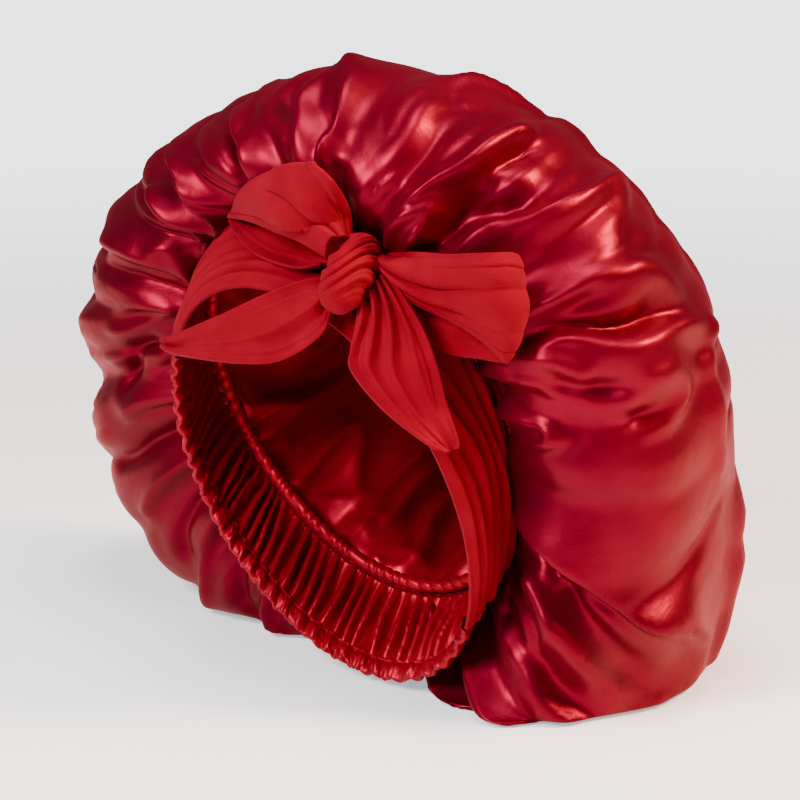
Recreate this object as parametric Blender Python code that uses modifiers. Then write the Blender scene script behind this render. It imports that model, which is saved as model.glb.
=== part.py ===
"""Sleep bonnet: a gathered satin crown with a lining, an elastic nape band and a jersey headband with a bow.

Every piece is worked out from the named sizes and the short tables below. The two rings of the opening are
drawn first. The crown, the lining and the bands hang on them. Units are metres, Z is up, the opening looks
towards -Y and leans forward, and the underside rests on Z = 0.
"""
import math

import bpy
import numpy as np

OBJECT_NAME = "sleep_bonnet"

# Sizes of the cloth and of the small pieces.
CROWN_WALL = 0.0015
LINING_WALL = 0.0015
BAND_WALL = 0.0020
PIECE_GAP = 0.0003
BAND_WIDTH = 0.0415
BAND_DROP = 0.0205
EDGE_CASING_WIDTH = 0.0110
EDGE_CASING_THICK = 0.0040
SEAM_CORD_RADIUS = 0.0031
CROWN_REACH = 0.200
CROWN_DEPTH = 0.1347
FOLD_HEIGHT = 0.010
LINING_DEPTH = 0.1080
LINING_GROWTH = 0.0170
LINING_RIPPLE = 0.0026
RIB_HEIGHT = 0.0023
GATHER_HEIGHT = 0.0019
CASING_RUFFLE = 0.0007

# The crown lies flat over the end of the bands for this far, and then keeps this far outside them.
SEAM_FLAT = 0.0034
BAND_CLEAR = 0.0060

# The seam ring: its centre, its half lengths, the turn of its long axis and how far the opening leans forward.
SEAM_CENTRE = np.array([-0.0265, 0.0, 0.129])
SEAM_LONG = 0.1015
SEAM_SHORT = 0.0856
SEAM_TURN = 121.0
LEAN = 15.0

# The free edge ring: its centre seen from the seam centre, its half lengths and its turn.
EDGE_SHIFT = 0.0074
EDGE_LONG = 0.1010
EDGE_SHORT = 0.0810
EDGE_TURN = 111.5

# Where the headband starts and ends round the ring, half the gap at its ends, and where the knot sits on it,
# in degrees, then the knot's share of the way to the free edge and its lift off the band.
HEADBAND_START = -38.0
HEADBAND_END = 145.0
END_GAP = 0.35
KNOT_ANGLE = 71.0
KNOT_SHARE = 0.58
KNOT_LIFT = 0.0145

# Half lengths of the knot: along its wrap, across it and out from the band.
KNOT_LONG = 0.0165
KNOT_WIDE = 0.0103
KNOT_THICK = 0.0112
KNOT_GROOVE = 0.0012
BOW_WALL = 0.0018
BOW_RISE = 0.0020
TAIL_LEFT_LENGTH = 0.110
TAIL_RIGHT_LENGTH = 0.090
LOOP_RIGHT_LENGTH = 0.070
LOOP_LEFT_LENGTH = 0.080

# The crown without folds, one row per thirty degrees round the opening.
# Columns: angle, reach from the seam centre as a share of CROWN_REACH, depth of the rim and bulge of the front
# as shares of CROWN_DEPTH, squareness of the back.
CROWN_TABLE = [
    (0, 0.780, 0.245, 0.089, 2.8),
    (30, 0.790, 0.260, 0.074, 2.2),
    (60, 0.750, 0.267, 0.074, 2.2),
    (90, 0.740, 0.245, 0.089, 2.1),
    (120, 0.740, 0.275, 0.089, 2.0),
    (150, 0.825, 0.238, 0.089, 2.1),
    (180, 0.995, 0.275, 0.104, 2.2),
    (210, 1.090, 0.215, 0.134, 2.2),
    (240, 0.980, 0.223, 0.160, 2.2),
    (270, 1.035, 0.163, 0.150, 2.5),
    (300, 1.110, 0.074, 0.371, 2.4),
    (330, 0.850, 0.178, 0.134, 3.1),
]
CROWN_APEX = (0.0715, -0.028)

# The folds of the crown, one row per fold going round the opening.
# Columns: angle at the seam, angle at the rim, height of the ridge and depth of the valley after it as shares
# of FOLD_HEIGHT, and how far over the back it carries.
FOLDS = [
    (4, -4, 0.40, 0.30, 0.5),
    (22, 11, 0.90, 0.50, 0.9),
    (37, 27, 0.40, 0.30, 0.5),
    (50, 40, 0.60, 0.90, 0.6),
    (63, 56, 0.90, 0.50, 0.8),
    (73, 72, 0.50, 0.60, 0.4),
    (81, 89, 0.90, 0.60, 0.7),
    (91, 107, 0.80, 0.60, 0.6),
    (102, 120, 0.70, 0.50, 0.4),
    (114, 130, 0.60, 0.60, 0.6),
    (127, 142, 0.70, 0.60, 0.4),
    (140, 155, 0.70, 0.60, 0.6),
    (152, 167, 0.70, 0.50, 0.4),
    (164, 180, 0.80, 1.00, 0.6),
    (183, 196, 0.50, 0.20, 0.5),
    (198, 206, 0.50, 0.30, 0.6),
    (213, 218, 0.40, 0.50, 0.4),
    (228, 231, 0.50, 0.30, 0.5),
    (243, 245, 0.50, 0.40, 0.4),
    (258, 259, 0.50, 0.40, 0.5),
    (273, 274, 0.50, 0.40, 0.3),
    (288, 292, 0.60, 0.50, 0.5),
    (304, 309, 0.60, 0.90, 0.5),
    (327, 329, 1.10, 0.30, 0.8),
    (345, 343, 0.40, 0.20, 0.4),
]

# Rows of the crown: shares of the way from the seam to the rim, then shares of the depth behind the rim.
FRONT_ROWS = (0.0, 0.025, 0.12, 0.27, 0.46, 0.66, 0.84, 0.96)
BACK_ROWS = (0.0, 0.26, 0.54, 0.78, 0.94)

# The bow: cross lines of each strip. Columns: x, y, z of one edge, then x, y, z of the other edge.
# The first row is seen from the middle of the knot, as shares of KNOT_LONG. The rows after it are seen from
# the middle of the first one, as shares of the strip's own length.
BOW_TAIL_LEFT = [
    (-0.73, -0.30, -0.18, -0.06, -0.73, -0.91),
    (-0.114, -0.023, 0.045, 0.041, -0.095, -0.145),
    (-0.268, -0.077, -0.027, -0.141, -0.123, -0.264),
    (-0.432, -0.095, -0.109, -0.332, -0.150, -0.300),
    (-0.641, -0.077, -0.200, -0.568, -0.141, -0.318),
    (-0.841, -0.041, -0.282, -0.777, -0.086, -0.336),
    (-0.895, -0.032, -0.309, -0.877, -0.050, -0.327),
]
BOW_TAIL_RIGHT = [
    (0.36, -0.12, -0.73, 0.79, 0.48, 0.12),
    (0.017, -0.133, -0.167, 0.161, 0.044, -0.022),
    (0.039, -0.200, -0.267, 0.294, 0.044, -0.178),
    (0.061, -0.222, -0.367, 0.383, 0.044, -0.356),
    (0.228, -0.178, -0.544, 0.450, 0.033, -0.533),
    (0.417, -0.078, -0.700, 0.517, 0.022, -0.667),
    (0.494, -0.033, -0.733, 0.528, 0.022, -0.722),
]
BOW_LOOP_RIGHT = [
    (0.36, 1.03, 0.42, 0.67, 0.73, -0.12),
    (0.221, -0.021, 0.107, 0.221, -0.036, -0.193),
    (0.593, -0.121, 0.164, 0.421, 0.107, -0.293),
    (0.879, -0.107, 0.207, 0.736, 0.021, -0.364),
    (0.979, -0.007, 0.207, 0.907, 0.007, -0.464),
    (0.979, 0.050, 0.164, 0.907, 0.036, -0.493),
    (0.836, -0.007, 0.121, 0.636, 0.150, -0.536),
    (0.550, -0.050, 0.050, 0.421, 0.064, -0.507),
    (0.179, 0.079, -0.036, 0.250, 0.007, -0.350),
    (-0.064, 0.093, -0.007, 0.036, 0.036, -0.179),
]
BOW_LOOP_LEFT = [
    (-0.67, -0.18, 0.36, -0.36, 0.48, 0.85),
    (-0.256, -0.056, 0.013, 0.006, 0.081, 0.188),
    (-0.531, -0.044, 0.062, 0.056, -0.069, 0.362),
    (-0.931, 0.156, 0.025, -0.019, -0.131, 0.462),
    (-1.019, 0.206, -0.013, -0.094, -0.094, 0.450),
    (-0.794, 0.044, -0.050, -0.119, -0.119, 0.388),
    (-0.556, -0.069, -0.100, -0.256, 0.056, 0.225),
    (-0.231, -0.106, -0.125, -0.169, 0.131, 0.087),
    (-0.094, -0.044, -0.100, -0.044, 0.094, 0.037),
]

SATIN_RED = (0.30, 0.004, 0.015, 1.0)
LINING_RED = (0.24, 0.004, 0.012, 1.0)
JERSEY_RED = (0.52, 0.004, 0.016, 1.0)

RIGHT = np.array([1.0, 0.0, 0.0])
UPWARD = np.array([0.0, -math.sin(math.radians(LEAN)), math.cos(math.radians(LEAN))])
REARWARD = np.array([0.0, math.cos(math.radians(LEAN)), math.sin(math.radians(LEAN))])


def ellipse_radius(angle, long_half, short_half, turn):
    """Distance from the middle of a turned ellipse to its line, in the direction of an angle in radians."""
    across = np.cos(angle - math.radians(turn)) / long_half
    along = np.sin(angle - math.radians(turn)) / short_half
    return 1.0 / np.sqrt(across ** 2 + along ** 2)


def place(right, up, rear):
    """Turn distances measured from the seam centre into points."""
    right, up, rear = np.broadcast_arrays(right, up, rear)
    return SEAM_CENTRE + right[..., None] * RIGHT + up[..., None] * UPWARD + rear[..., None] * REARWARD


def seam_reach(angle):
    return ellipse_radius(angle, SEAM_LONG, SEAM_SHORT, SEAM_TURN)


def seam_point(angle, inset=0.0, rear=0.0):
    reach = seam_reach(angle) - inset
    return place(reach * np.cos(angle), reach * np.sin(angle), rear)


def edge_point(angle):
    reach = ellipse_radius(angle, EDGE_LONG, EDGE_SHORT, EDGE_TURN)
    return place(EDGE_SHIFT + reach * np.cos(angle), reach * np.sin(angle) - BAND_DROP, -BAND_WIDTH)


def edge_reach_seen_from_seam(angle):
    """Distance from the line through the seam centre to the free edge, at an angle about that line."""
    turn = np.linspace(0.0, 2.0 * math.pi, 721)
    reach = ellipse_radius(turn, EDGE_LONG, EDGE_SHORT, EDGE_TURN)
    right = EDGE_SHIFT + reach * np.cos(turn)
    up = reach * np.sin(turn) - BAND_DROP
    seen = np.mod(np.arctan2(up, right), 2.0 * math.pi)
    order = np.argsort(seen)
    return np.interp(np.mod(angle, 2.0 * math.pi), seen[order], np.hypot(right, up)[order],
                     period=2.0 * math.pi)


def periodic(column, angle):
    """Smooth closed curve through one column of the crown table."""
    values = np.array([row[column] for row in CROWN_TABLE])
    count = len(values)
    spot = np.mod(angle, 2.0 * math.pi) / (2.0 * math.pi) * count
    first = np.floor(spot).astype(int)
    t = spot - first
    a = values[(first - 1) % count]
    b = values[first % count]
    c = values[(first + 1) % count]
    d = values[(first + 2) % count]
    return 0.5 * ((2 * b) + (c - a) * t + (2 * a - 5 * b + 4 * c - d) * t ** 2
                  + (3 * b - a - 3 * c + d) * t ** 3)


def crown_front(angle, share):
    """A row of the crown between the seam (share 0) and the rim (share 1)."""
    start = seam_reach(angle) - BAND_WALL
    span = periodic(1, angle) * CROWN_REACH - start
    rim = periodic(2, angle) * CROWN_DEPTH
    bulge = periodic(3, angle) * CROWN_DEPTH
    away = span * share
    if share == FRONT_ROWS[1]:
        away = np.full_like(span, SEAM_FLAT)
    reach = start + away
    free = np.clip((away - SEAM_FLAT) / (span - SEAM_FLAT), 0.0, 1.0)
    rear = rim * (1.0 - (1.0 - share ** 2.5) ** 0.4) - bulge * np.sin(math.pi * free ** 1.1)
    rear = np.where(away <= SEAM_FLAT, 0.0, rear)
    forward = np.clip(-rear / BAND_WIDTH, 0.0, 1.0)
    kept = start + (edge_reach_seen_from_seam(angle) - start) * forward + BAND_CLEAR
    reach = np.where(away > SEAM_FLAT, np.maximum(reach, kept), reach)
    return place(reach * np.cos(angle), reach * np.sin(angle), rear)


def crown_back(angle, share):
    """A row of the crown behind the rim, at a share of the depth left there."""
    rim = periodic(2, angle) * CROWN_DEPTH
    power = periodic(4, angle)
    rear = rim + (CROWN_DEPTH - rim) * share
    pull = (1.0 - share ** power) ** (1.0 / power)
    reach = periodic(1, angle) * CROWN_REACH
    centre_right = CROWN_APEX[0] * CROWN_REACH
    centre_up = CROWN_APEX[1] * CROWN_REACH
    right = centre_right + (reach * np.cos(angle) - centre_right) * pull
    up = centre_up + (reach * np.sin(angle) - centre_up) * pull
    return place(right, up, rear)


def fold_columns():
    """Four columns per fold: its ridge, a flank, the valley and the next flank."""
    seam, rim, lift, carry = [], [], [], []
    for number, fold in enumerate(FOLDS):
        after = FOLDS[(number + 1) % len(FOLDS)]
        seam_step = (after[0] - fold[0]) % 360.0
        rim_step = (after[1] - fold[1]) % 360.0
        for t, value in ((0.0, fold[2]), (0.30, 0.35 * fold[2]), (0.52, -fold[3]), (0.74, 0.30 * after[2])):
            seam.append(fold[0] + seam_step * t)
            rim.append(fold[1] + rim_step * t)
            lift.append(value * FOLD_HEIGHT)
            carry.append(fold[4] * (1.0 - t) + after[4] * t)
    return np.radians(seam), np.radians(rim), np.array(lift), np.array(carry)


def grid_normals(grid):
    """Normals of a grid of points closed in its second direction."""
    along = np.gradient(grid, axis=0)
    across = np.roll(grid, -1, axis=1) - np.roll(grid, 1, axis=1)
    normal = np.cross(across, along)
    return normal / np.maximum(np.linalg.norm(normal, axis=-1, keepdims=True), 1e-9)


def crown_grid():
    """The outer face of the crown with its folds, seam row first, and the point at the back."""
    seam, rim, lift, carry = fold_columns()
    rows, strength = [], []
    for share in FRONT_ROWS:
        angle = seam + (rim - seam) * share
        rows.append(crown_front(angle, share))
        distance = share * (periodic(1, angle) * CROWN_REACH - seam_reach(angle))
        limit = np.clip(0.4 * (distance - 0.002), 0.0, 1.0)
        envelope = math.sin(math.pi * min(0.5, 0.62 * share + 0.02))
        if share == FRONT_ROWS[1]:
            limit = np.zeros_like(limit)
        strength.append(np.minimum(np.abs(lift) * envelope, limit) * np.sign(lift))
    for share in BACK_ROWS:
        rows.append(crown_back(rim, share))
        envelope = 0.95 * (1.0 - share) * (carry * (1.0 - share) + (1.0 - carry) * (1.0 - share) ** 3)
        strength.append(lift * envelope)
    grid = np.array(rows)
    normal = grid_normals(grid)
    outside = np.sum(normal[4] * -REARWARD, axis=-1).mean()
    if outside < 0.0:
        normal = -normal
    normal[2] = -REARWARD
    normal[3] = (normal[3] - REARWARD) / 2.0
    grid = grid + normal * np.array(strength)[..., None]
    grid[..., 2] = np.maximum(grid[..., 2], 0.0)
    apex = place(np.array(CROWN_APEX[0] * CROWN_REACH), np.array(CROWN_APEX[1] * CROWN_REACH),
                 np.array(CROWN_DEPTH * 1.008))
    return grid, apex


def lining_grid(count=44):
    """The outer face of the lining bag, seam row first, and the point at the back."""
    angle = np.linspace(0.0, 2.0 * math.pi, count, endpoint=False)
    wave = np.where(np.arange(count) % 2 == 0, 1.0, -1.0)
    rows = []
    for share, grow, rear, ripple in (
            (1.0, 0.0, 0.0, 0.0), (1.0, 0.15, 0.0, 0.0), (1.0, 0.48, 0.07, 0.5), (1.0, 0.88, 0.24, 1.0),
            (1.0, 1.0, 0.46, 1.0), (1.0, 0.82, 0.70, 0.85), (1.0, 0.15, 0.88, 0.6), (0.54, 0.0, 0.975, 0.3)):
        reach = (seam_reach(angle) - BAND_WALL) * share + LINING_GROWTH * grow + wave * ripple * LINING_RIPPLE
        depth = CROWN_WALL + PIECE_GAP + (LINING_DEPTH - CROWN_WALL) * rear
        rows.append(place(reach * np.cos(angle), reach * np.sin(angle), depth))
    grid = np.array(rows)
    grid[..., 2] = np.maximum(grid[..., 2], CROWN_WALL + PIECE_GAP * 2.0)
    apex = place(np.array(0.0), np.array(0.0), np.array(LINING_DEPTH))
    return grid, apex


def band_frame(angle):
    """Start by the seam ring, end on the free edge, and the outward normal of the band, for each angle."""
    start = seam_point(angle, 0.0, 0.0)
    end = edge_point(angle)
    step = 0.01
    tangent = (seam_point(angle + step) + edge_point(angle + step)) - (seam_point(angle) + edge_point(angle))
    normal = np.cross(tangent, end - start)
    normal /= np.linalg.norm(normal, axis=-1, keepdims=True)
    outward = (start + end) / 2.0 - place(np.array(0.0), np.array(0.0), np.array(-BAND_WIDTH / 2.0))
    normal = normal * np.sign(np.sum(normal * outward, axis=-1, keepdims=True))
    tip = np.maximum(-np.sum(normal * REARWARD, axis=-1), 0.0)
    start = seam_point(angle, 0.0, -PIECE_GAP - BAND_WALL * tip)
    return start, end, normal


def headband_grid(count=37):
    """Outer face of the headband: five ribs run along it and draw together behind the knot."""
    degrees = np.linspace(HEADBAND_START + END_GAP, HEADBAND_END - END_GAP, count)
    angle = np.radians(degrees)
    start, end, normal = band_frame(angle)
    near = np.exp(-((degrees - KNOT_ANGLE) / 17.0) ** 2)
    rows = []
    for number, share in enumerate(np.linspace(0.0, 1.0, 11)):
        rib = (0.0, 0.6, 0.0, 1.0, 0.0, 1.0, 0.0, 1.0, 0.0, 0.7, 0.0)[number] * RIB_HEIGHT
        middle = 1.0 - abs(2.0 * share - 1.0) ** 3
        drift = 0.018 * np.sin(3.0 * angle + 1.7 * number) * middle
        spot = 0.5 + (share - 0.5) * (1.0 - 0.5 * near * middle) + drift
        lift = rib + 0.5 * RIB_HEIGHT * middle * np.sin(2.0 * angle + number)
        rows.append(start + (end - start) * spot[:, None] + normal * np.asarray(lift)[..., None])
    return np.array(rows)


def nape_grid(count=75):
    """Outer face of the gathered nape band, from the seam to the edge casing."""
    degrees = np.linspace(HEADBAND_END + END_GAP, HEADBAND_START + 360.0 - END_GAP, count)
    angle = np.radians(degrees)
    start, end, normal = band_frame(angle)
    length = np.linalg.norm(end - start, axis=-1)
    last = 1.0 - (EDGE_CASING_WIDTH + PIECE_GAP * 2.0) / length
    wave = np.where(np.arange(count) % 2 == 0, 1.0, -1.0)
    wave[0] = 0.0
    wave[-1] = 0.0
    rows = []
    for share, ripple in ((0.0, 0.0), (0.2, 0.8), (0.52, 1.0), (0.8, 0.7), (1.0, 0.0)):
        lift = wave * ripple * GATHER_HEIGHT
        rows.append(start + (end - start) * (last * share)[:, None] + normal * lift[:, None])
    return np.array(rows)


def edge_casing_grid(count=61):
    """Middle face of the flat casing along the free edge, ruffled up and down."""
    degrees = np.linspace(HEADBAND_END + END_GAP, HEADBAND_START + 360.0 - END_GAP, count)
    angle = np.radians(degrees)
    start, end, normal = band_frame(angle)
    along = (end - start) / np.linalg.norm(end - start, axis=-1, keepdims=True)
    wave = np.where(np.arange(count) % 2 == 0, CASING_RUFFLE, -CASING_RUFFLE)[:, None]
    rows = []
    for share, ruffle in ((1.0, 0.0), (0.5, 1.0), (0.0, 1.0)):
        rows.append(end - along * (EDGE_CASING_WIDTH * share) - normal * (BAND_WALL / 2.0)
                    + normal * wave * ruffle)
    grid = np.array(rows)
    grid[..., 2] = np.maximum(grid[..., 2], EDGE_CASING_THICK / 2.0 + PIECE_GAP)
    return grid


def seam_cord_points(count=73):
    """Middle line of the cord-like casing just inside the seam ring, and its swelling at each point."""
    degrees = np.linspace(HEADBAND_END + END_GAP, HEADBAND_START + 360.0 - END_GAP, count)
    inset = BAND_WALL + PIECE_GAP * 1.5 + SEAM_CORD_RADIUS
    middle = seam_point(np.radians(degrees), inset, PIECE_GAP * 2.5)
    swelling = np.where(np.arange(count) % 2 == 0, 1.0, 0.78)
    return middle, swelling


def knot_frame():
    """Middle of the knot, its outward direction, and the directions along and across its wrap."""
    angle = np.array([math.radians(KNOT_ANGLE)])
    start, end, normal = band_frame(angle)
    middle = start[0] + (end[0] - start[0]) * KNOT_SHARE + normal[0] * KNOT_LIFT
    down = end[0] - start[0]
    along = down - normal[0] * np.dot(down, normal[0])
    along /= np.linalg.norm(along)
    side = np.cross(normal[0], along)
    along = along * math.cos(math.radians(-4.0)) + side * math.sin(math.radians(-4.0))
    return middle, normal[0], along, np.cross(normal[0], along)


def strip_grid(table, length, columns=5):
    """Middle face of one strip of the bow: straight cross lines, raised in the middle."""
    rows = np.array(table)
    root = knot_frame()[0] + rows[0].reshape(2, 3) * KNOT_LONG
    ends = root.mean(axis=0) + rows[1:].reshape(-1, 2, 3) * length
    ends = np.concatenate([root[None], ends])
    share = np.linspace(0.0, 1.0, columns)
    grid = ends[:, :1] + (ends[:, 1:] - ends[:, :1]) * share[None, :, None]
    normal = np.cross(np.gradient(grid, axis=1), np.gradient(grid, axis=0))
    normal /= np.maximum(np.linalg.norm(normal, axis=-1, keepdims=True), 1e-9)
    rise = BOW_RISE * (1.0 - (2.0 * share - 1.0) ** 2)
    return grid + normal * rise[None, :, None]


def to_opening(points):
    """World points as seen from the empty at the seam centre: right, up and forward out of the opening."""
    away = np.asarray(points) - SEAM_CENTRE
    return np.stack([away @ RIGHT, away @ UPWARD, -(away @ REARWARD)], axis=-1)


def link_piece(piece, material):
    """Put a piece in the object's collection, under the empty of the opening, shaded smooth."""
    bpy.data.collections[OBJECT_NAME].objects.link(piece)
    piece.parent = bpy.data.objects["opening_frame"]
    piece.data.materials.append(material)
    return piece


def add_wall(name, grid, thickness, offset, material, wrap=False, apex=None, facing=None):
    """An open surface from rows of points, given its thickness by Solidify."""
    rows, columns = grid.shape[:2]
    points = [tuple(point) for point in to_opening(grid.reshape(-1, 3))]
    if facing is not None:
        step = np.cross(grid[1, 1] - grid[1, 0], grid[2, 0] - grid[1, 0])
        turn = float(np.dot(step, facing)) < 0.0
    else:
        turn = False
    faces = []
    for row in range(rows - 1):
        for column in range(columns if wrap else columns - 1):
            after = (column + 1) % columns
            face = [row * columns + column, row * columns + after,
                    (row + 1) * columns + after, (row + 1) * columns + column]
            faces.append(face[::-1] if turn else face)
    if apex is not None:
        points.append(tuple(to_opening(apex)))
        for column in range(columns):
            face = [(rows - 1) * columns + column, (rows - 1) * columns + (column + 1) % columns, rows * columns]
            faces.append(face[::-1] if turn else face)
    mesh = bpy.data.meshes.new(name)
    mesh.from_pydata(points, [], faces)
    mesh.shade_smooth()
    piece = link_piece(bpy.data.objects.new(name, mesh), material)
    solid = piece.modifiers.new("wall", "SOLIDIFY")
    solid.thickness = thickness
    solid.offset = offset
    solid.use_even_offset = False
    return piece


def add_cord(name, points, swelling, radius, material):
    """A cord along a line of points, thicker and thinner in turn."""
    curve = bpy.data.curves.new(name, "CURVE")
    curve.dimensions = "3D"
    curve.bevel_depth = radius
    curve.bevel_resolution = 1
    curve.use_fill_caps = True
    spline = curve.splines.new("POLY")
    spline.points.add(len(points) - 1)
    for spot, place_of, size in zip(spline.points, to_opening(points), swelling):
        spot.co = (*place_of, 1.0)
        spot.radius = size
    return link_piece(bpy.data.objects.new(name, curve), material)


def add_knot(material):
    """The knot: a sphere drawn out along its wrap and grooved where the cloth turns round it."""
    middle, out, along, across = knot_frame()
    bpy.ops.mesh.primitive_uv_sphere_add(segments=22, ring_count=12, radius=1.0)
    piece = bpy.context.active_object
    piece.name = "bow_knot"
    piece.data.name = "bow_knot"
    for vertex in piece.data.vertices:
        x, y, z = vertex.co
        turn = math.atan2(y, x)
        lean = math.acos(max(-1.0, min(1.0, z)))
        groove = 1.0 - (KNOT_GROOVE / KNOT_WIDE) * (0.5 + 0.5 * math.cos(7.0 * lean + turn))
        full = groove * math.sin(lean) ** -0.2 if 0.05 < lean < math.pi - 0.05 else 1.0
        spot = (middle + along * (z * KNOT_LONG) + across * (x * full * KNOT_WIDE)
                + out * (y * full * KNOT_THICK))
        vertex.co = tuple(to_opening(spot))
    piece.data.shade_smooth()
    for holder in list(piece.users_collection):
        holder.objects.unlink(piece)
    return link_piece(piece, material)


def cloth(name, colour, roughness):
    material = bpy.data.materials.new(name)
    material.use_nodes = True
    shader = material.node_tree.nodes["Principled BSDF"]
    shader.inputs["Base Color"].default_value = colour
    shader.inputs["Roughness"].default_value = roughness
    material.diffuse_color = colour
    return material


def build_bags(satin, inside):
    """The crown and the lining, both hung on the seam ring."""
    grid, apex = crown_grid()
    add_wall("crown", grid, CROWN_WALL, -1.0, satin, True, apex, -REARWARD)
    grid, apex = lining_grid()
    add_wall("lining", grid, LINING_WALL, -1.0, inside, True, apex, -REARWARD)


def build_bands(satin, jersey):
    """The headband, the nape band and the two casings of the nape band."""
    middle = place(np.array(0.0), np.array(0.0), np.array(-BAND_WIDTH / 2.0))
    for name, grid, material in (("headband", headband_grid(), jersey), ("nape_band", nape_grid(), satin)):
        add_wall(name, grid, BAND_WALL, -1.0, material, facing=grid[1, 0] - middle)
    grid = edge_casing_grid()
    add_wall("nape_edge_casing", grid, EDGE_CASING_THICK, 0.0, satin)
    points, swelling = seam_cord_points()
    add_cord("nape_seam_casing", points, swelling, SEAM_CORD_RADIUS, satin)


def build_bow(jersey):
    """The knot, the two loops and the two tails."""
    add_knot(jersey)
    for name, table, length in (
            ("bow_loop_left", BOW_LOOP_LEFT, LOOP_LEFT_LENGTH), ("bow_loop_right", BOW_LOOP_RIGHT, LOOP_RIGHT_LENGTH),
            ("bow_tail_left", BOW_TAIL_LEFT, TAIL_LEFT_LENGTH), ("bow_tail_right", BOW_TAIL_RIGHT, TAIL_RIGHT_LENGTH)):
        add_wall(name, strip_grid(table, length), BOW_WALL, 0.0, jersey)


def seat_on_floor(frame):
    """Move the empty so that the middle of the underside of the whole bonnet is the origin."""
    bpy.context.view_layer.update()
    depsgraph = bpy.context.evaluated_depsgraph_get()
    spots = []
    for piece in bpy.data.collections[OBJECT_NAME].objects:
        if piece.type == "EMPTY":
            continue
        shown = piece.evaluated_get(depsgraph)
        mesh = shown.to_mesh()
        spots += [tuple(piece.matrix_world @ vertex.co) for vertex in mesh.vertices]
        shown.to_mesh_clear()
    low, high = np.min(spots, axis=0), np.max(spots, axis=0)
    shift = np.array([(low[0] + high[0]) / 2.0, (low[1] + high[1]) / 2.0, low[2]])
    frame.location = tuple(SEAM_CENTRE - shift)
    bpy.context.view_layer.update()
    print("shift", [round(float(value), 6) for value in shift], "size", (high - low).round(4).tolist())


def build():
    for item in list(bpy.data.objects):
        bpy.data.objects.remove(item, do_unlink=True)
    collection = bpy.data.collections.new(OBJECT_NAME)
    bpy.context.scene.collection.children.link(collection)
    frame = bpy.data.objects.new("opening_frame", None)
    frame.location = tuple(SEAM_CENTRE)
    frame.rotation_euler = (math.radians(90.0 + LEAN), 0.0, 0.0)
    collection.objects.link(frame)
    bpy.context.view_layer.update()
    satin = cloth("crown_satin", SATIN_RED, 0.35)
    inside = cloth("lining_satin", LINING_RED, 0.4)
    jersey = cloth("band_jersey", JERSEY_RED, 0.8)
    build_bags(satin, inside)
    build_bands(satin, jersey)
    build_bow(jersey)
    seat_on_floor(frame)


build()
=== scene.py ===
# %% [markdown]
# A satin sleep bonnet, dressed over its plain model. The plain model gives the places and the sizes. Here
# each piece of cloth is made again with its folds, gathers and seams, so the first step is to load that
# model.

import math

import bpy
import numpy as np
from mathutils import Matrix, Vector


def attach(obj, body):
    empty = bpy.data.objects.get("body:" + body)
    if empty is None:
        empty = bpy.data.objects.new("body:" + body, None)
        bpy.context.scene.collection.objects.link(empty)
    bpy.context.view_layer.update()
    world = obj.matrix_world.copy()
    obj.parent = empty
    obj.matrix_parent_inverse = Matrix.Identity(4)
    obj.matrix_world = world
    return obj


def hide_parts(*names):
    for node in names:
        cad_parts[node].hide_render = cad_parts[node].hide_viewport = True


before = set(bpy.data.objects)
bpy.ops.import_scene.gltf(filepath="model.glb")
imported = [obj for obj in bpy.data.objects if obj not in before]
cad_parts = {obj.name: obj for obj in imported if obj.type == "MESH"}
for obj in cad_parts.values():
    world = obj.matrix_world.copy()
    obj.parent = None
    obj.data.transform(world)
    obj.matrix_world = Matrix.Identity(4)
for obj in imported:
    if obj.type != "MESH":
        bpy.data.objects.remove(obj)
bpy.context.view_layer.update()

# %% [markdown]
# The camera stands where the photographer stood, a little above the bonnet and to its right. Its place
# comes from two angles and a distance, which are easier to read than three coordinates. A long lens keeps
# the far side of the crown from looking too small.

# %% Camera
VIEW_TARGET = Vector((0.050327, -0.036412, 0.136))
VIEW_DISTANCE = 1.35
VIEW_TURN = math.radians(40.0)
VIEW_RISE = math.radians(14.0)
towards_camera = Vector((math.sin(VIEW_TURN) * math.cos(VIEW_RISE),
                         -math.cos(VIEW_TURN) * math.cos(VIEW_RISE), math.sin(VIEW_RISE)))
camera = bpy.data.objects.new("camera", bpy.data.cameras.new("camera"))
bpy.context.scene.collection.objects.link(camera)
camera.location = VIEW_TARGET + towards_camera * VIEW_DISTANCE
camera.rotation_euler = (-towards_camera).to_track_quat("-Z", "Y").to_euler()
camera.data.sensor_width = 36.0
camera.data.lens = 133.5
bpy.context.scene.camera = camera
print("camera at", [round(v, 3) for v in camera.location])

# %% [markdown]
# The opening of the bonnet is two rings: the seam ring, where the crown meets the bands, and the free
# edge. Both are turned ellipses on planes that lean forward. All the cloth hangs on them, so they are the
# first things to work out, with the same named sizes as the plain model.

# %% Sizes of the opening
SEAM_CENTRE = np.array([0.023827, -0.036412, 0.129])
SEAM_LONG, SEAM_SHORT, SEAM_TURN, LEAN = 0.1015, 0.0856, 121.0, 15.0
EDGE_SHIFT, EDGE_LONG, EDGE_SHORT, EDGE_TURN = 0.0074, 0.1010, 0.0810, 111.5
BAND_WIDTH, BAND_DROP, BAND_WALL, PIECE_GAP = 0.0415, 0.0205, 0.0020, 0.0003
HEADBAND_START, HEADBAND_END, END_GAP, KNOT_ANGLE = -38.0, 145.0, 0.35, 71.0
SEAM_FLAT, BAND_CLEAR = 0.0034, 0.0060
RIGHT = np.array([1.0, 0.0, 0.0])
UPWARD = np.array([0.0, -math.sin(math.radians(LEAN)), math.cos(math.radians(LEAN))])
REARWARD = np.array([0.0, math.cos(math.radians(LEAN)), math.sin(math.radians(LEAN))])


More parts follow.
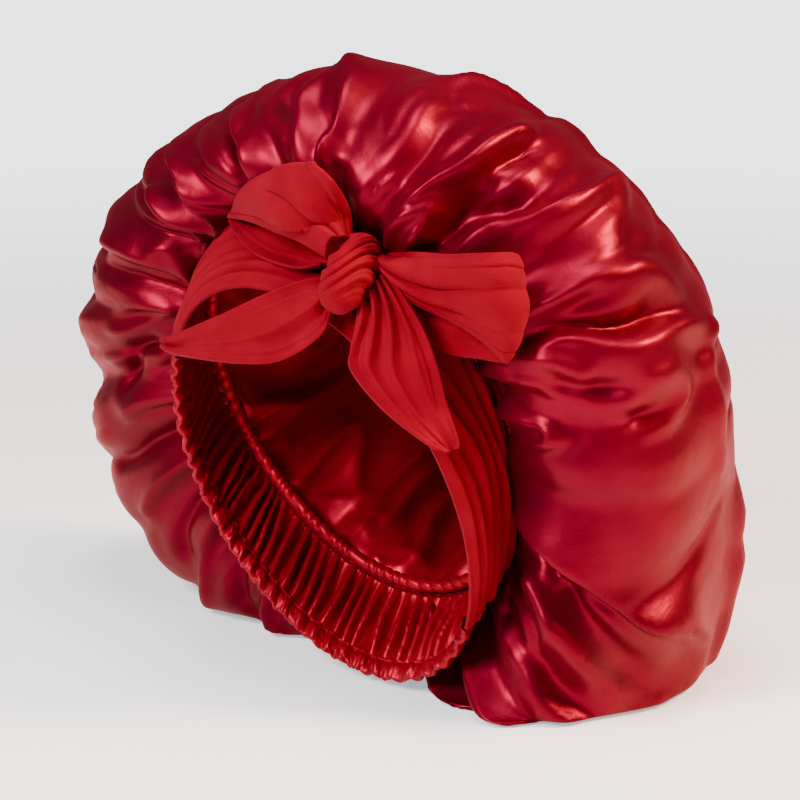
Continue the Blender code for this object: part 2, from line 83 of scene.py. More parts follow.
def ellipse_radius(angle, long_half, short_half, turn):
    """Distance from the middle of a turned ellipse to its line at an angle."""
    across = np.cos(angle - math.radians(turn)) / long_half
    along = np.sin(angle - math.radians(turn)) / short_half
    return 1.0 / np.sqrt(across ** 2 + along ** 2)


def place(right, up, rear):
    """Distances measured from the seam centre, as points."""
    right, up, rear = np.broadcast_arrays(right, up, rear)
    return SEAM_CENTRE + right[..., None] * RIGHT + up[..., None] * UPWARD + rear[..., None] * REARWARD


def seam_reach(angle):
    return ellipse_radius(angle, SEAM_LONG, SEAM_SHORT, SEAM_TURN)


def seam_point(angle, inset=0.0, rear=0.0):
    reach = seam_reach(angle) - inset
    return place(reach * np.cos(angle), reach * np.sin(angle), rear)


def edge_point(angle):
    reach = ellipse_radius(angle, EDGE_LONG, EDGE_SHORT, EDGE_TURN)
    return place(EDGE_SHIFT + reach * np.cos(angle), reach * np.sin(angle) - BAND_DROP, -BAND_WIDTH)


def band_frame(angle):
    """Start by the seam, end on the free edge and outward direction of the band, at each angle."""
    start, end, step = seam_point(angle), edge_point(angle), 0.01
    tangent = seam_point(angle + step) + edge_point(angle + step) - start - end
    normal = np.cross(tangent, end - start)
    normal /= np.linalg.norm(normal, axis=-1, keepdims=True)
    outward = (start + end) / 2.0 - place(np.array(0.0), np.array(0.0), np.array(-BAND_WIDTH / 2.0))
    normal = normal * np.sign(np.sum(normal * outward, axis=-1, keepdims=True))
    tip = np.maximum(-np.sum(normal * REARWARD, axis=-1), 0.0)
    return seam_point(angle, 0.0, -PIECE_GAP - BAND_WALL * tip), end, normal


print("seam ring", round(math.pi * (SEAM_LONG + SEAM_SHORT), 3), "m round")

# %% [markdown]
# Cloth is never even, so the folds need an unevenness that is the same each time the script runs. This
# noise gives each point of a lattice a fixed value and blends smoothly between them. Taking the distance
# of that value from its middle makes billows: round puffs with sharp creases between them, as satin has.

# %% Uneven heights that repeat on every run
def smooth_noise(u, v, seed, period=None):
    """Smooth values from -1 to 1 over a lattice. It closes on itself in u if a period is given."""
    u, v = np.broadcast_arrays(np.asarray(u, float), np.asarray(v, float))
    column, row = np.floor(u).astype(int), np.floor(v).astype(int)
    s, t = u - column, v - row
    s, t = s * s * (3.0 - 2.0 * s), t * t * (3.0 - 2.0 * t)

    def corner(i, j):
        i = np.mod(i, period) if period else i
        value = np.sin(i * 127.1 + j * 311.7 + seed * 74.7) * 43758.5453
        return 2.0 * (value - np.floor(value)) - 1.0

    low = corner(column, row) * (1.0 - s) + corner(column + 1, row) * s
    high = corner(column, row + 1) * (1.0 - s) + corner(column + 1, row + 1) * s
    return low * (1.0 - t) + high * t


def billow(u, v, seed, period=None):
    """Round puffs with sharp creases between them, from -1 in a crease to 1 on a puff."""
    return 2.0 * np.sqrt(np.abs(smooth_noise(u, v, seed, period)) + 1e-4) - 1.0


def smooth_step(low, high, value):
    t = np.clip((value - low) / (high - low), 0.0, 1.0)
    return t * t * (3.0 - 2.0 * t)


def curve_through(values, spot, closed=False):
    """Smooth curve through a list of values, read at fractional places."""
    values = np.asarray(values, float)
    count = len(values)
    first = np.floor(spot).astype(int)
    if not closed:
        first = np.clip(first, 0, count - 2)
    t = np.asarray(spot - first)
    t = t.reshape(t.shape + (1,) * (values.ndim - 1))

    def at(i):
        return values[np.mod(i, count) if closed else np.clip(i, 0, count - 1)]

    a, b, c, d = at(first - 1), at(first), at(first + 1), at(first + 2)
    square, cube = 2 * a - 5 * b + 4 * c - d, 3 * b - a - 3 * c + d
    return 0.5 * (2 * b + (c - a) * t + square * t ** 2 + cube * t ** 3)


def blur(field, across, along_rows):
    """Average of a field over a window of the grid, closed across and mirrored along."""
    padded = np.concatenate([field[:, -across:], field, field[:, :across]], axis=1)
    total = np.cumsum(np.concatenate([np.zeros_like(padded[:, :1]), padded], axis=1), axis=1)
    field = (total[:, 2 * across + 1:] - total[:, :-(2 * across + 1)]) / (2 * across + 1)
    padded = np.concatenate([field[along_rows:0:-1], field, field[-2:-along_rows - 2:-1]], axis=0)
    total = np.cumsum(np.concatenate([np.zeros_like(padded[:1]), padded], axis=0), axis=0)
    return (total[2 * along_rows + 1:] - total[:-(2 * along_rows + 1)]) / (2 * along_rows + 1)


print("noise sample", round(float(smooth_noise(0.4, 0.7, 3)), 3))

# %% [markdown]
# Every piece of cloth here is a grid of points, so one helper turns a grid into a mesh with a place for
# each point on the flat cloth. That flat place, the UV map, is in metres, so that weave and stitches come
# out at their real size. The same helper gives the cloth its thickness and says which plain piece it
# takes the place of.

# %% From a grid of points to a piece of cloth
def cloth_piece(name, grid, material, replaced, wrap=False, thickness=0.0, offset=-1.0):
    """A mesh from rows of points, riding with the bonnet in place of the plain pieces that it names."""
    rows, columns = grid.shape[:2]
    step_across = np.linalg.norm(np.diff(grid, axis=1), axis=-1).mean()
    step_along = np.linalg.norm(np.diff(grid, axis=0), axis=-1).mean()
    faces, corners = [], []
    for row in range(rows - 1):
        for column in range(columns if wrap else columns - 1):
            after = (column + 1) % columns
            faces.append((row * columns + column, row * columns + after,
                          (row + 1) * columns + after, (row + 1) * columns + column))
            corners += [(row, column), (row, column + 1), (row + 1, column + 1), (row + 1, column)]
    mesh = bpy.data.meshes.new(name)
    mesh.from_pydata([tuple(point) for point in grid.reshape(-1, 3)], [], faces)
    spots = np.array(corners, float)[:, ::-1] * (step_across, step_along)
    layer = mesh.uv_layers.new(name="flat_cloth")
    layer.data.foreach_set("uv", spots.astype(np.float32).ravel())
    mesh.shade_smooth()
    mesh.materials.append(material)
    piece = bpy.data.objects.new(name, mesh)
    bpy.context.scene.collection.objects.link(piece)
    if thickness:
        wall = piece.modifiers.new("thickness", "SOLIDIFY")
        wall.thickness = thickness
        wall.offset = offset
        wall.use_even_offset = False
    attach(piece, "root")
    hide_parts(*replaced)
    print(name, "faces", len(faces), "cell", round(step_across * 1000, 2), "by", round(step_along * 1000, 2))
    return piece


def grid_normals(grid, wrap):
    along = np.gradient(grid, axis=0)
    if wrap:
        across = np.roll(grid, -1, axis=1) - np.roll(grid, 1, axis=1)
    else:
        across = np.gradient(grid, axis=1)
    normal = np.cross(across, along)
    return normal / np.maximum(np.linalg.norm(normal, axis=-1, keepdims=True), 1e-12)


# %% [markdown]
# Satin is woven so that long threads float on its face. Light slides along them, which gives broad,
# coloured highlights on the folds and near black in the creases. A photo of cloth could be laid on as a
# picture, but nodes stay sharp at any distance. A little metal in the shader colours the highlight, and a
# fine thread bump with slow changes of tone keeps the surface from looking like plastic.

# %% Satin
def new_material(name):
    material = bpy.data.materials.new(name)
    material.use_nodes = True
    nodes, links = material.node_tree.nodes, material.node_tree.links
    return material, nodes, links, nodes["Principled BSDF"]


def set_inputs(node, values):
    for name, value in values.items():
        node.inputs[name].default_value = value


def noise_node(nodes, links, vector, values):
    noise = nodes.new("ShaderNodeTexNoise")
    set_inputs(noise, values)
    links.new(vector, noise.inputs["Vector"])
    return noise.outputs["Fac"]


def bump_node(nodes, links, height, strength, distance, under=None):
    """A bump from a height, laid over another bump if one is given."""
    bump = nodes.new("ShaderNodeBump")
    set_inputs(bump, {"Strength": strength, "Distance": distance})
    links.new(height, bump.inputs["Height"])
    if under:
        links.new(under, bump.inputs["Normal"])
    return bump.outputs["Normal"]


def tone_ramp(nodes, links, source, dark, light, low=0.3, high=0.7):
    """Blend from a dark to a light tone as the source goes from low to high."""
    ramp = nodes.new("ShaderNodeValToRGB")
    for element, position, tone in zip(ramp.color_ramp.elements, (low, high), (dark, light)):
        element.position = position
        element.color = (*tone, 1.0)
    links.new(source, ramp.inputs["Fac"])
    return ramp.outputs["Color"]


def satin(name, dark, light, roughness, metal):
    material, nodes, links, shader = new_material(name)
    coordinates = nodes.new("ShaderNodeTexCoord")
    cloud = noise_node(nodes, links, coordinates.outputs["Object"], {"Scale": 22.0, "Detail": 3.0})
    links.new(tone_ramp(nodes, links, cloud, dark, light), shader.inputs["Base Color"])
    threads = nodes.new("ShaderNodeMapping")
    threads.inputs["Scale"].default_value = (2600.0, 260.0, 1.0)
    links.new(coordinates.outputs["UV"], threads.inputs["Vector"])
    weave = noise_node(nodes, links, threads.outputs["Vector"], {"Scale": 1.0, "Detail": 2.0})
    crush = noise_node(nodes, links, coordinates.outputs["Object"],
                       {"Scale": 75.0, "Detail": 4.0, "Distortion": 0.6})
    fine = bump_node(nodes, links, weave, 0.12, 0.0002)
    links.new(bump_node(nodes, links, crush, 0.35, 0.0012, fine), shader.inputs["Normal"])
    set_inputs(shader, {"Roughness": roughness, "Metallic": metal, "Specular IOR Level": 0.5,
                        "Specular Tint": (1.0, 0.10, 0.16, 1.0), "Sheen Weight": 0.02,
                        "Sheen Roughness": 0.4, "Sheen Tint": (1.0, 0.10, 0.16, 1.0)})
    return material


crown_satin = satin("crown_satin", (0.078, 0.0001, 0.006), (0.130, 0.0002, 0.010), 0.40, 0.62)
# The lining is the same satin as the crown, but its colour is painted about twice as light: painted light
# that stands in for the light reaching into the bag.
lining_satin = satin("lining_satin", (0.170, 0.0003, 0.009), (0.250, 0.0005, 0.013), 0.38, 0.50)
nape_satin = satin("nape_satin", (0.140, 0.0002, 0.006), (0.215, 0.0004, 0.009), 0.42, 0.40)
print("satins ready")

# %% [markdown]
# The headband and its bow are jersey, a fine matte knit. It has rows of tiny stitches instead of floating
# threads, so it takes an even, bright red with a soft sheen and almost no highlight. Stitches that small
# need no geometry: a wave for the rows and a fine noise for the fuzz, both as bump, are enough.

# %% Jersey
def jersey(name, dark, light):
    material, nodes, links, shader = new_material(name)
    coordinates = nodes.new("ShaderNodeTexCoord")
    cloud = noise_node(nodes, links, coordinates.outputs["Object"], {"Scale": 60.0, "Detail": 4.0})
    links.new(tone_ramp(nodes, links, cloud, dark, light), shader.inputs["Base Color"])
    knit = nodes.new("ShaderNodeTexWave")
    set_inputs(knit, {"Scale": 330.0, "Distortion": 1.5, "Detail": 1.0})
    links.new(coordinates.outputs["UV"], knit.inputs["Vector"])
    fuzz = noise_node(nodes, links, coordinates.outputs["Object"], {"Scale": 1500.0})
    rows = bump_node(nodes, links, knit.outputs["Fac"], 0.20, 0.0002)
    links.new(bump_node(nodes, links, fuzz, 0.30, 0.0002, rows), shader.inputs["Normal"])
    set_inputs(shader, {"Roughness": 0.78, "Specular IOR Level": 0.1,
                        "Specular Tint": (1.0, 0.1, 0.15, 1.0), "Sheen Weight": 0.03,
                        "Sheen Roughness": 0.5, "Sheen Tint": (1.0, 0.25, 0.30, 1.0)})
    return material


band_jersey = jersey("band_jersey", (0.120, 0.0001, 0.005), (0.155, 0.0001, 0.007))
print("jersey ready")

# %% [markdown]
# The crown is one large round of satin, gathered onto the seam ring and slumped where it stands. It could
# start from a sphere and be pushed about by hand, but a table of sizes is easier to correct. Without its
# folds the crown is a lopsided pumpkin. The table gives that pumpkin every thirty degrees round the
# opening: how far it reaches, how deep its rim lies, how much its front bulges and how square its back
# is.

# %% The crown without folds
CROWN_REACH, CROWN_DEPTH, FOLD_HEIGHT = 0.200, 0.1347, 0.010
CROWN_APEX = (0.0715, -0.028)
CROWN_COLUMNS = ("angle", "reach", "rim", "bulge", "squareness")
CROWN_TABLE = [
    (0, 0.780, 0.245, 0.089, 2.8), (30, 0.790, 0.260, 0.074, 2.2), (60, 0.750, 0.267, 0.074, 2.2),
    (90, 0.740, 0.245, 0.089, 2.1), (120, 0.740, 0.275, 0.089, 2.0), (150, 0.825, 0.238, 0.089, 2.1),
    (180, 0.995, 0.275, 0.104, 2.2), (210, 1.090, 0.215, 0.134, 2.2), (240, 0.980, 0.223, 0.160, 2.2),
    (270, 1.035, 0.163, 0.150, 2.5), (300, 1.110, 0.074, 0.371, 2.4), (330, 0.850, 0.178, 0.134, 3.1),
]


def crown_value(name, angle):
    """One column of the crown table as a smooth closed curve."""
    values = [row[CROWN_COLUMNS.index(name)] for row in CROWN_TABLE]
    return curve_through(values, np.mod(angle, 2.0 * math.pi) / (2.0 * math.pi) * len(values), closed=True)


def edge_reach_seen_from_seam(angle):
    turn = np.linspace(0.0, 2.0 * math.pi, 721)
    reach = ellipse_radius(turn, EDGE_LONG, EDGE_SHORT, EDGE_TURN)
    right, up = EDGE_SHIFT + reach * np.cos(turn), reach * np.sin(turn) - BAND_DROP
    seen = np.mod(np.arctan2(up, right), 2.0 * math.pi)
    order = np.argsort(seen)
    reach = np.hypot(right, up)[order]
    return np.interp(np.mod(angle, 2.0 * math.pi), seen[order], reach, period=2.0 * math.pi)


def crown_front(angle, share):
    """A row between the seam, share 0, and the rim, share 1."""
    start = seam_reach(angle) - BAND_WALL
    span = crown_value("reach", angle) * CROWN_REACH - start
    rim = crown_value("rim", angle) * CROWN_DEPTH
    bulge = crown_value("bulge", angle) * CROWN_DEPTH
    away = span * share
    free = np.clip((away - SEAM_FLAT) / (span - SEAM_FLAT), 0.0, 1.0)
    rear = rim * (1.0 - (1.0 - share ** 2.5) ** 0.4) - bulge * np.sin(math.pi * free ** 1.1)
    rear = rear * smooth_step(0.0, 0.012, away)
    forward = np.clip(-rear / BAND_WIDTH, 0.0, 1.0)
    kept = start + (edge_reach_seen_from_seam(angle) - start) * forward + BAND_CLEAR
    reach = np.where(away > SEAM_FLAT, np.maximum(start + away, kept), start + away)
    return place(reach * np.cos(angle), reach * np.sin(angle), rear)


def crown_back(angle, share):
    """A row behind the rim, at a share of the depth left there."""
    rim = crown_value("rim", angle) * CROWN_DEPTH
    power = crown_value("squareness", angle)
    pull = (1.0 - share ** power) ** (1.0 / power)
    reach = crown_value("reach", angle) * CROWN_REACH
    middle = (CROWN_APEX[0] * CROWN_REACH, CROWN_APEX[1] * CROWN_REACH)
    right = middle[0] + (reach * np.cos(angle) - middle[0]) * pull
    up = middle[1] + (reach * np.sin(angle) - middle[1]) * pull
    return place(right, up, rim + (CROWN_DEPTH - rim) * share)


print("crown", CROWN_REACH * 2, "m across before its folds")

# %% [markdown]
# The main folds start at the seam and run over the front of the crown. Each row of the next table is one
# fold: its angle at the seam and at the rim, the height of its ridge, the depth of the valley after it,
# and how far it carries over the back. The plain model has these folds too, so the cloth stays close to
# it.

# %% The main folds
FOLDS = [
    (4, -4, 0.40, 0.30, 0.5), (22, 11, 0.90, 0.50, 0.9), (37, 27, 0.40, 0.30, 0.5), (50, 40, 0.60, 0.90, 0.6),
    (63, 56, 0.90, 0.50, 0.8), (73, 72, 0.50, 0.60, 0.4), (81, 89, 0.90, 0.60, 0.7),
    (91, 107, 0.80, 0.60, 0.6), (102, 120, 0.70, 0.50, 0.4), (114, 130, 0.60, 0.60, 0.6),
    (127, 142, 0.70, 0.60, 0.4),
    (140, 155, 0.70, 0.60, 0.6), (152, 167, 0.70, 0.50, 0.4), (164, 180, 0.80, 1.00, 0.6),
    (183, 196, 0.50, 0.20, 0.5), (198, 206, 0.50, 0.30, 0.6), (213, 218, 0.40, 0.50, 0.4),
    (228, 231, 0.50, 0.30, 0.5), (243, 245, 0.50, 0.40, 0.4), (258, 259, 0.50, 0.40, 0.5),
    (273, 274, 0.50, 0.40, 0.3), (288, 292, 0.60, 0.50, 0.5), (304, 309, 0.60, 0.90, 0.5),
    (327, 329, 1.10, 0.30, 0.8), (345, 343, 0.40, 0.20, 0.4),
]
CROWN_ROUND = 570
FRONT_SHARES = np.concatenate([np.linspace(0.0, 0.2, 13)[:-1], np.linspace(0.2, 0.995, 35)])
BACK_SHARES = np.concatenate([np.linspace(0.02, 0.9, 27), 1.0 - np.geomspace(0.085, 0.00002, 12)])


def fold_curves(spot):
    """Angle at the seam, angle at the rim, height and carry at fractional places from fold to fold."""
    seam, rim, lift, carry = [], [], [], []
    for number, fold in enumerate(FOLDS):
        after = FOLDS[(number + 1) % len(FOLDS)]
        for t, value in ((0.0, fold[2]), (0.26, 0.5 * fold[2]), (0.52, -fold[3]), (0.76, 0.4 * after[2])):
            seam.append(fold[0] + ((after[0] - fold[0]) % 360.0) * t - (number + t) * 360.0 / len(FOLDS))
            rim.append(fold[1] + ((after[1] - fold[1]) % 360.0) * t - (number + t) * 360.0 / len(FOLDS))
            lift.append(value)
            carry.append(fold[4] * (1.0 - t) + after[4] * t)
    read = [curve_through(values, spot * 4.0, closed=True) for values in (seam, rim, lift, carry)]
    turn = spot * 360.0 / len(FOLDS)
    return np.radians(read[0] + turn), np.radians(read[1] + turn), read[2] * FOLD_HEIGHT, read[3]


crown_spot = np.arange(CROWN_ROUND) * len(FOLDS) / CROWN_ROUND
crown_seam, crown_rim, crown_lift, crown_carry = fold_curves(crown_spot)
base_rows = [crown_front(crown_seam + (crown_rim - crown_seam) * share, share) for share in FRONT_SHARES]
base_rows += [crown_back(crown_rim, share) for share in BACK_SHARES]
crown_base = np.array(base_rows)
crown_out = grid_normals(crown_base, True)
crown_out *= np.sign(np.sum(crown_out[30] * -REARWARD, axis=-1).mean())
seam_distance = np.concatenate([[np.zeros(CROWN_ROUND)],
                                np.cumsum(np.linalg.norm(np.diff(crown_base, axis=0), axis=-1), axis=0)])
print("crown grid", crown_base.shape, "rim at", round(float(seam_distance[len(FRONT_SHARES)].mean()), 3), "m")

# %% [markdown]
# On top of the regular folds, this bonnet has its own: sharp edges where one lobe overhangs the next,
# dark hollows and curled puffs. A cloth simulation makes folds of this kind, but it puts them where it
# likes. So each is drawn as a stroke on the crown, as a sculptor would: a height, how wide it falls away
# on its left and on its right, and the places it runs through. A place is an angle round the opening and
# a percentage, from 0 at the seam over 100 at the rim to 200 at the back. A negative height presses a
# valley.

# %% The folds of this bonnet
CROWN_STROKES = [
    (7.0, 2.5, 9.0, ((82, 58), (82, 74), (82, 86), (84, 96), (89, 102), (96, 122))),
    (-6.0, 3.0, 3.0, ((89, 40), (92, 80), (101, 98))),
    (5.0, 5.0, 5.0, ((102, 15), (102, 60), (109, 84), (114, 98))),
    (4.0, 4.0, 4.0, ((90, 40), (95, 76), (103, 92), (112, 108))),
    (5.0, 5.0, 5.0, ((88, 30), (90, 76), (93, 92), (92, 98), (97, 122))),
    (-5.0, 3.0, 3.0, ((106, 24), (106, 60), (112, 84), (127, 100))),
    (8.0, 2.5, 9.0, ((128, 2), (122, 26), (121, 52), (124, 74), (132, 96))),
    (6.0, 6.0, 5.0, ((128, 6), (132, 36), (134, 60), (136, 76))),
    (-6.0, 3.0, 3.0, ((130, 10), (135, 38), (138, 62), (143, 86))),
    (6.0, 6.0, 6.0, ((149, 8), (146, 24), (148, 48), (153, 70), (160, 82))),
    (4.5, 3.5, 3.5, ((147, 10), (142, 26), (141, 36), (146, 40))),
    (4.0, 2.5, 2.5, ((142, 4), (136, 8), (134, 22))),
    (-5.0, 3.5, 3.5, ((154, 5), (156, 46), (162, 78))),
    (5.0, 5.0, 5.0, ((158, 5), (160, 30), (165, 48), (176, 90))),
    (4.0, 4.0, 4.0, ((159, 16), (162, 24), (168, 38), (172, 56))),
    (-6.0, 3.0, 7.0, ((171, 24), (174, 40), (182, 88))),
    (-6.0, 3.0, 3.0, ((172, 28), (174, 40), (178, 42), (186, 52))),
    (4.0, 4.0, 4.0, ((174, 22), (178, 30), (180, 42))),
    (-4.0, 3.0, 3.0, ((66, 30), (62, 78), (60, 94), (60, 104), (61, 128))),
    (-4.0, 4.0, 4.0, ((68, 40), (65, 86), (68, 100), (74, 122))),
    (8.0, 8.0, 3.5, ((66, 20), (61, 74), (57, 92), (56, 100), (54, 120))),
    (-9.0, 9.0, 9.0, ((54, 50), (52, 78), (48, 88), (46, 96), (44, 98))),
    (-6.0, 3.5, 3.5, ((54, 98), (54, 108))),
    (5.0, 9.0, 9.0, ((51, 96), (48, 98), (48, 102))),
    (6.0, 3.5, 3.5, ((63, 10), (62, 48), (58, 64), (56, 66), (56, 52), (60, 20))),
    (8.0, 3.5, 9.0, ((51, 30), (46, 78), (42, 92), (40, 100), (40, 122), (42, 150))),
    (5.0, 5.0, 5.0, ((32, 40), (30, 84), (30, 98), (29, 98), (25, 100))),
    (-5.0, 4.0, 4.0, ((30, 40), (27, 86), (26, 96))),
    (-5.0, 4.0, 3.0, ((28, 30), (24, 82), (20, 96), (18, 106))),
    (6.5, 3.5, 10.0, ((28, 20), (23, 74), (18, 94), (16, 106), (12, 148))),
    (5.0, 3.5, 3.5, ((26, 20), (21, 64), (16, 76), (14, 80))),
    (4.0, 3.0, 3.0, ((22, 10), (18, 50), (13, 64))),
    (-6.0, 5.0, 5.0, ((16, 5), (15, 66), (12, 86), (10, 98))),
    (6.0, 5.0, 5.0, ((7, 88), (11, 96), (9, 100), (5, 106), (3, 99), (0, 98))),
    (-5.0, 5.0, 5.0, ((6, 97), (3, 96))),
    (5.0, 5.0, 5.0, ((12, 148), (7, 132), (356, 130), (344, 136))),
    (4.0, 7.0, 7.0, ((40, 120), (36, 122), (34, 100), (28, 104), (21, 118), (15, 128))),
    (5.0, 3.0, 3.0, ((10, 2), (9, 30), (7, 50), (4, 50), (3, 25))),
    (10.0, 10.0, 2.5, ((352, 6), (344, 20), (341, 50), (336, 74), (330, 94), (325, 110), (316, 136))),
    (-8.0, 4.0, 6.0, ((345, 10), (336, 30), (331, 60), (324, 86), (316, 110))),
    (6.0, 3.0, 3.0, ((334, 5), (334, 30), (332, 48), (336, 50), (338, 42))),
    (6.0, 3.0, 3.0, ((322, 5), (322, 30), (320, 48), (324, 52), (327, 44))),
    (7.0, 3.0, 7.0, ((330, 30), (328, 44), (322, 70), (316, 94))),
    (-6.0, 3.5, 3.5, ((324, 10), (322, 40), (318, 60), (313, 84))),
    (6.0, 4.0, 4.0, ((312, 5), (315, 30), (316, 56), (311, 80))),
    (-5.0, 3.5, 3.5, ((306, 5), (309, 28), (311, 54), (308, 72))),
    (5.0, 4.0, 4.0, ((298, 2), (303, 26), (306, 48), (306, 66))),
    (-4.0, 3.5, 3.5, ((292, 6), (299, 28), (302, 50))),
    (4.0, 4.0, 4.0, ((286, 5), (292, 30), (298, 52))),
    (4.0, 4.0, 4.0, ((185, 10), (186, 36), (190, 52))),
    (-5.0, 3.0, 3.0, ((193, 10), (196, 38), (200, 68))),
    (5.0, 5.0, 5.0, ((200, 10), (204, 40), (210, 62))),
    (-5.0, 3.0, 3.0, ((207, 10), (214, 42), (220, 56))),
    (6.0, 5.0, 5.0, ((213, 10), (222, 46), (231, 82))),
    (-5.0, 3.0, 3.0, ((223, 10), (232, 44), (242, 58))),
    (5.0, 4.0, 4.0, ((231, 10), (240, 44), (249, 60))),
    (6.0, 3.0, 9.0, ((150, 110), (138, 130), (120, 148), (95, 162))),
    (-5.0, 4.0, 4.0, ((190, 105), (196, 125), (215, 145))),
    (6.0, 9.0, 3.0, ((225, 102), (214, 125), (190, 150), (160, 166))),
    (6.0, 3.0, 8.0, ((280, 105), (288, 130), (312, 150), (340, 164))),
    (5.0, 6.0, 3.0, ((75, 125), (66, 145), (40, 162), (10, 172))),
    (-5.0, 4.0, 4.0, ((250, 115), (262, 140), (290, 160))),
]


def crown_place(degrees, percent):
    angle, share = np.radians(np.array([degrees], float)), percent / 100
    return crown_front(angle, share)[0] if share <= 1.0 else crown_back(angle, min(share - 1.0, 0.98))[0]


def stroke_lift(points, out, height, left, right, places):
    """Height that one stroke adds at each point, and how far it leans over its steeper side."""
    knots = np.array([crown_place(*one) for one in places])
    line = curve_through(knots, np.linspace(0.0, len(knots) - 1.0, 8 * (len(knots) - 1) + 1))
    reach_out = 0.0035 * max(left, right)
    near = np.all((points > line.min(axis=0) - reach_out) & (points < line.max(axis=0) + reach_out), axis=-1)
    spots, facing = points[near], out[near]
    best = np.full(len(spots), 9.0)
    side = np.zeros(len(spots))
    way = np.zeros(len(spots))
    leftward = np.zeros(spots.shape)
    for number in range(len(line) - 1):
        step = line[number + 1] - line[number]
        t = np.clip(((spots - line[number]) @ step) / (step @ step), 0.0, 1.0)
        away = spots - line[number] - t[:, None] * step
        distance = np.linalg.norm(away, axis=-1)
        closer = distance < best
        best[closer] = distance[closer]
        across = np.cross(facing, step / np.linalg.norm(step))
        side[closer] = np.sum(away * across, axis=-1)[closer]
        leftward[closer] = across[closer]
        way[closer] = (number + t[closer]) / (len(line) - 1)
    width = np.where(side > 0.0, left, right) * 0.001
    fade = smooth_step(-0.02, 0.16, way) if places[0][1] > 11 else 1.0
    fade = fade * smooth_step(-0.02, 0.20, 1.0 - way)
    result = np.zeros(points.shape[:-1])
    result[near] = STROKE_GAIN * 0.001 * height * np.exp(-(best / width) ** 1.4) * fade
    lean = np.zeros(points.shape)
    steeper = (right - left) / (left + right)
    lean[near] = leftward * (steeper * STROKE_LEAN * np.abs(result[near]))[:, None]
    return result, lean


STROKE_GAIN, STROKE_LEAN = 1.2, 0.8
stroke_height = np.zeros(crown_base.shape[:2])
stroke_lean = np.zeros(crown_base.shape)
for height_mm, left_mm, right_mm, places in CROWN_STROKES:
    one_height, one_lean = stroke_lift(crown_base, crown_out, height_mm, left_mm, right_mm, places)
    stroke_height += one_height
    stroke_lean += one_lean
print(len(CROWN_STROKES), "strokes, up to", round(float(stroke_height.max()) * 1000, 1), "mm")

# %% [markdown]
# Between these folds the satin has its own life: tight gathers at the seam that melt together outwards,
# soft creases that wander along the folds, and a gentle crumple all over. Each is a billow of a different
# size, strong where that kind of fold is strong on the real cloth and gone where the cloth is held flat.

# %% Gathers, creases and crumple
row_share = np.concatenate([FRONT_SHARES, 1.0 + BACK_SHARES])[:, None]
along = seam_distance / 0.01
angle_share = (crown_spot / len(FOLDS))[None, :]
held = smooth_step(0.001, 0.010, seam_distance)
ring_steps = np.linalg.norm(np.roll(crown_base, -1, axis=1) - crown_base, axis=-1)
ring_radius = ring_steps.sum(axis=1) / (2.0 * math.pi)
to_back = smooth_step(0.05, 0.18, ring_radius)[:, None]
main_shape = np.where(row_share < 1.0, np.sin(0.5 * math.pi * np.minimum(1.0, 1.24 * row_share + 0.04)), 1.0)
behind = np.clip(row_share - 1.0, 0.0, 1.0)
carry_shape = crown_carry * (1.0 - behind) + (1.0 - crown_carry) * (1.0 - behind) ** 3
main_shape = main_shape * np.where(row_share < 1.0, 1.0, 0.95 * (1.0 - behind) * carry_shape)
main_height = crown_lift * main_shape * (0.62 - 0.25 * smooth_step(0.4, 1.0, row_share))

gather_count = 84
wander = 0.45 * smooth_noise(angle_share * 42, along * 0.5, 5, 42)
gather = billow(angle_share * gather_count + wander, along * 0.14, 11, gather_count)
gather_reach = 0.026 + 0.014 * smooth_noise(angle_share * 30, 0.0, 15, 30)
gather_strength = 0.0040 * np.exp(-seam_distance / gather_reach)
crease_count = 40
crease = billow(angle_share * crease_count + 0.7 * smooth_noise(angle_share * 20, along * 0.3, 8, 20),
                along * 0.10, 23, crease_count)
crease_strength = 0.0026 * smooth_step(0.006, 0.05, seam_distance) * to_back
crumple = smooth_noise(angle_share * 50 + 0.8 * smooth_noise(angle_share * 30, along * 0.4, 31, 30),
                       along * 0.33, 41, 50)
crumple_strength = 0.0008 * smooth_step(0.02, 0.07, seam_distance) * to_back
slump = smooth_noise(crown_base[..., 0] / 0.045 + 3.0, crown_base[..., 2] / 0.060, 55)
slump_strength = 0.0030 * smooth_step(1.15, 1.7, row_share)
pole_fade = smooth_step(0.012, 0.060, ring_radius)[:, None]
FINE_CREASES, FINE_PATCHES = 120, 11
fine = billow(angle_share * FINE_CREASES + 1.4 * smooth_noise(angle_share * 30, along * 0.35, 76, 30),
              along * 0.11, 77, FINE_CREASES)
fine_patch = smooth_noise(angle_share * FINE_PATCHES, along * 0.18, 79, FINE_PATCHES)
fine_place = smooth_step(-0.15, 0.45, fine_patch)
fine_place = fine_place * (1.0 - smooth_step(1.0, 1.45, row_share))
fine_strength = 0.0012 * fine_place * smooth_step(0.008, 0.03, seam_distance) * to_back
FOLD_MOST = 0.017
height = FOLD_MOST * np.tanh((main_height + stroke_height) / FOLD_MOST) + crease * crease_strength
height = height * pole_fade + crumple * crumple_strength
height = height + 0.2 * (height - blur(height, 5, 2)) * to_back
height = blur(height, 1, 1) + gather * gather_strength + fine * fine_strength + slump * slump_strength
height = height * held
crown_lean = blur(stroke_lean, 2, 1) * (held * pole_fade)[..., None]
crown_grid = crown_base + crown_out * height[..., None] + crown_lean
FLOOR_SOFT, FLOOR_LEAST = 0.0045, 0.0014
above_floor = (crown_grid[..., 2] - FLOOR_LEAST) / FLOOR_SOFT
crown_grid[..., 2] = FLOOR_LEAST + FLOOR_SOFT * np.logaddexp(0.0, above_floor)
crown_tip = crown_grid[-1].mean(axis=0)
print("folds from", round(float(height.min()) * 1000, 1), "to", round(float(height.max()) * 1000, 1), "mm")
